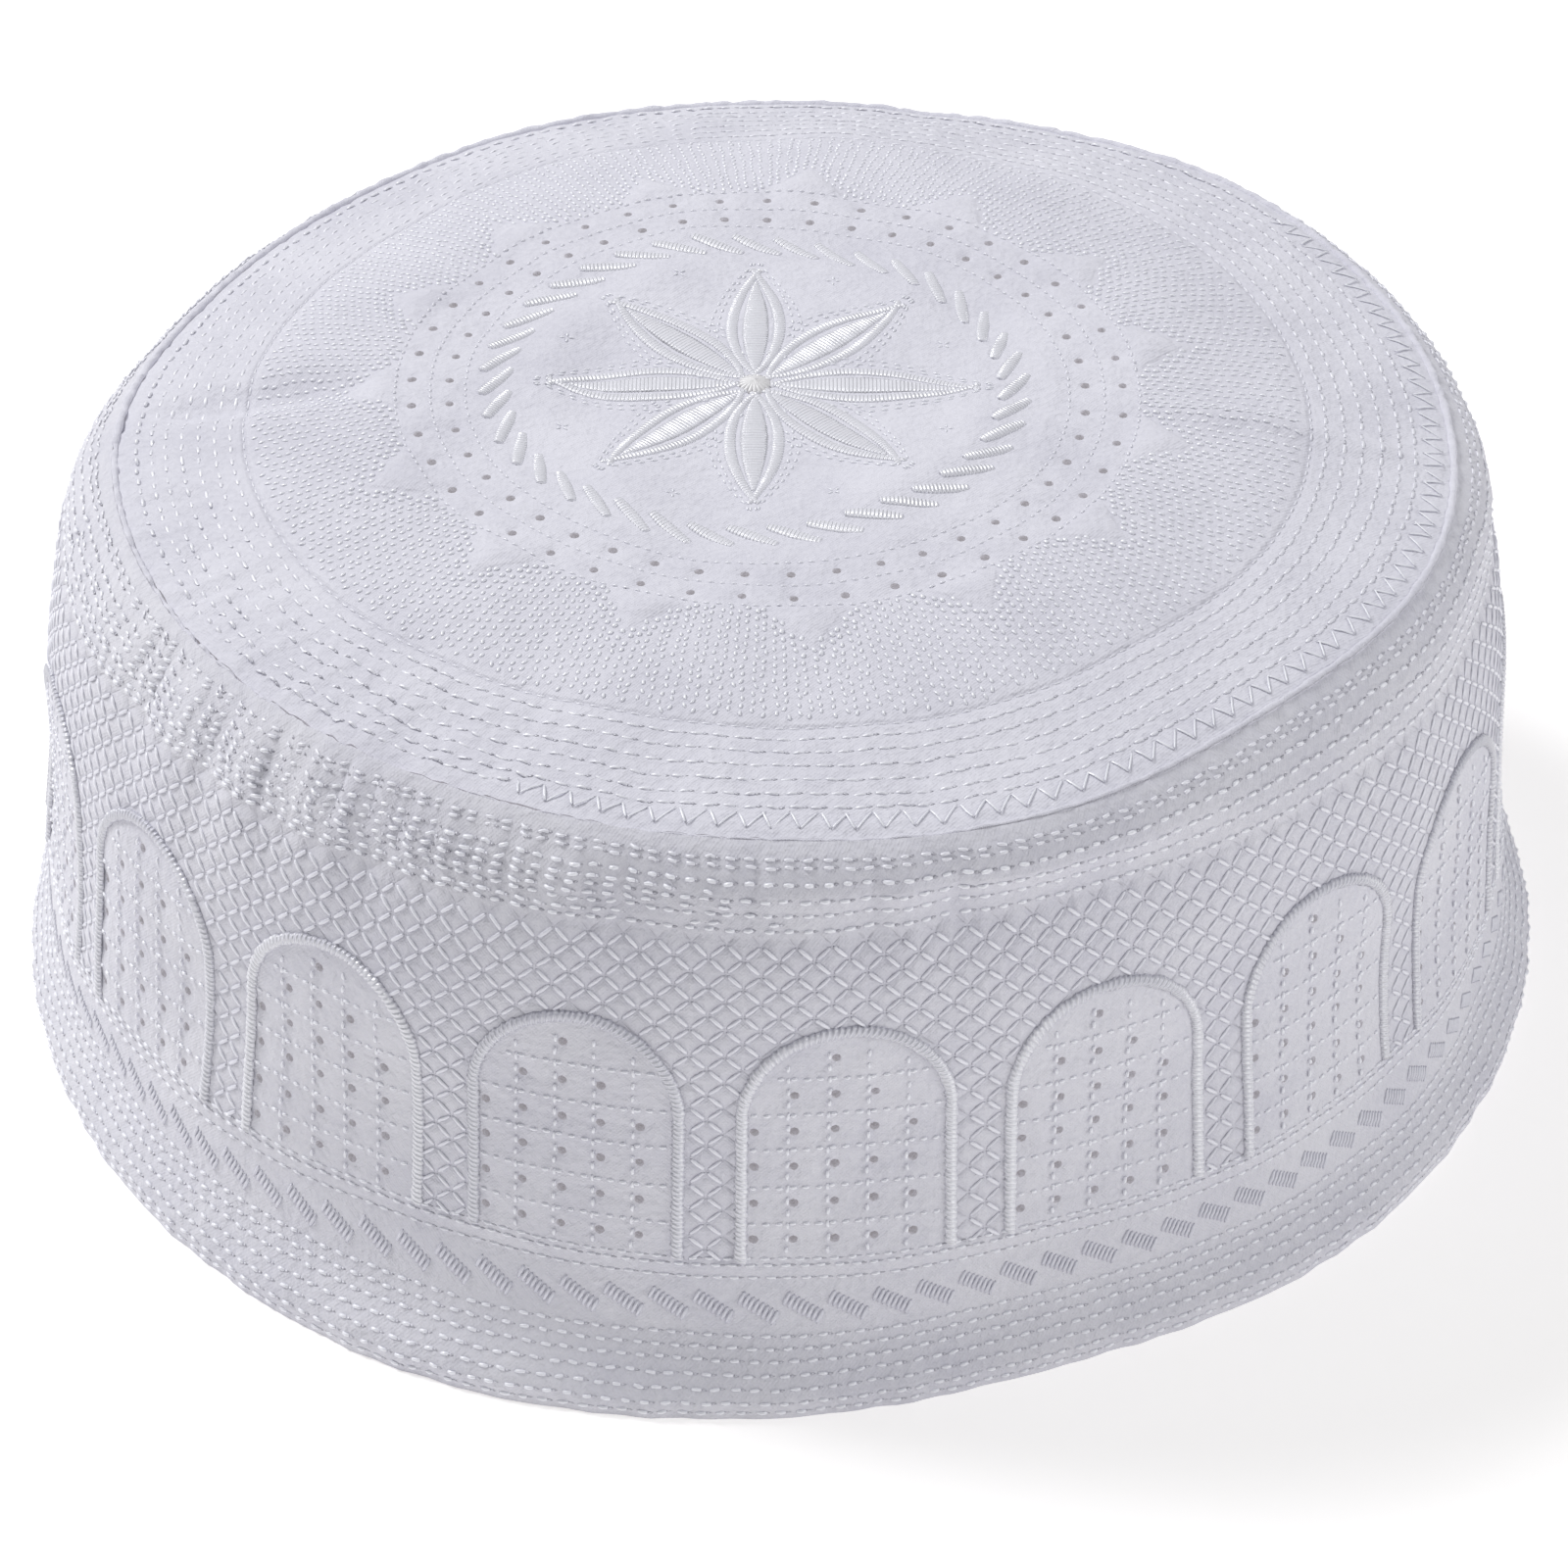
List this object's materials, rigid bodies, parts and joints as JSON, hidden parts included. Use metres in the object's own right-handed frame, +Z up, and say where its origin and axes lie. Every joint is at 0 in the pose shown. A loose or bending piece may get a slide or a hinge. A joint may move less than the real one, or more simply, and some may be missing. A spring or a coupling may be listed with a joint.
{
  "type": "prayer cap",
  "caption": "Round white embroidered prayer cap with a flat pierced crown, a raised crown seam and a straight side band with a flared hem, open below for the head.",
  "frame": {"origin": "middle of the cap's footprint, on the plane that the rim rests on", "axes": "+Z up through the crown, -Y towards the front of the picture, +X to the right of the picture"},
  "size_m": [0.184, 0.1866, 0.076],
  "materials": {
    "crown_cloth": "plain woven white cotton quilted with shiny white thread",
    "welt_cloth": "folded white cotton with zigzag stitches in shiny white thread",
    "band_cloth": "plain woven white cotton quilted and satin stitched with shiny white thread"
  },
  "bodies": {
    "root": {"crown": "crown_cloth", "seam_welt": "welt_cloth", "side_band": "band_cloth"}
  },
  "joints": []
}
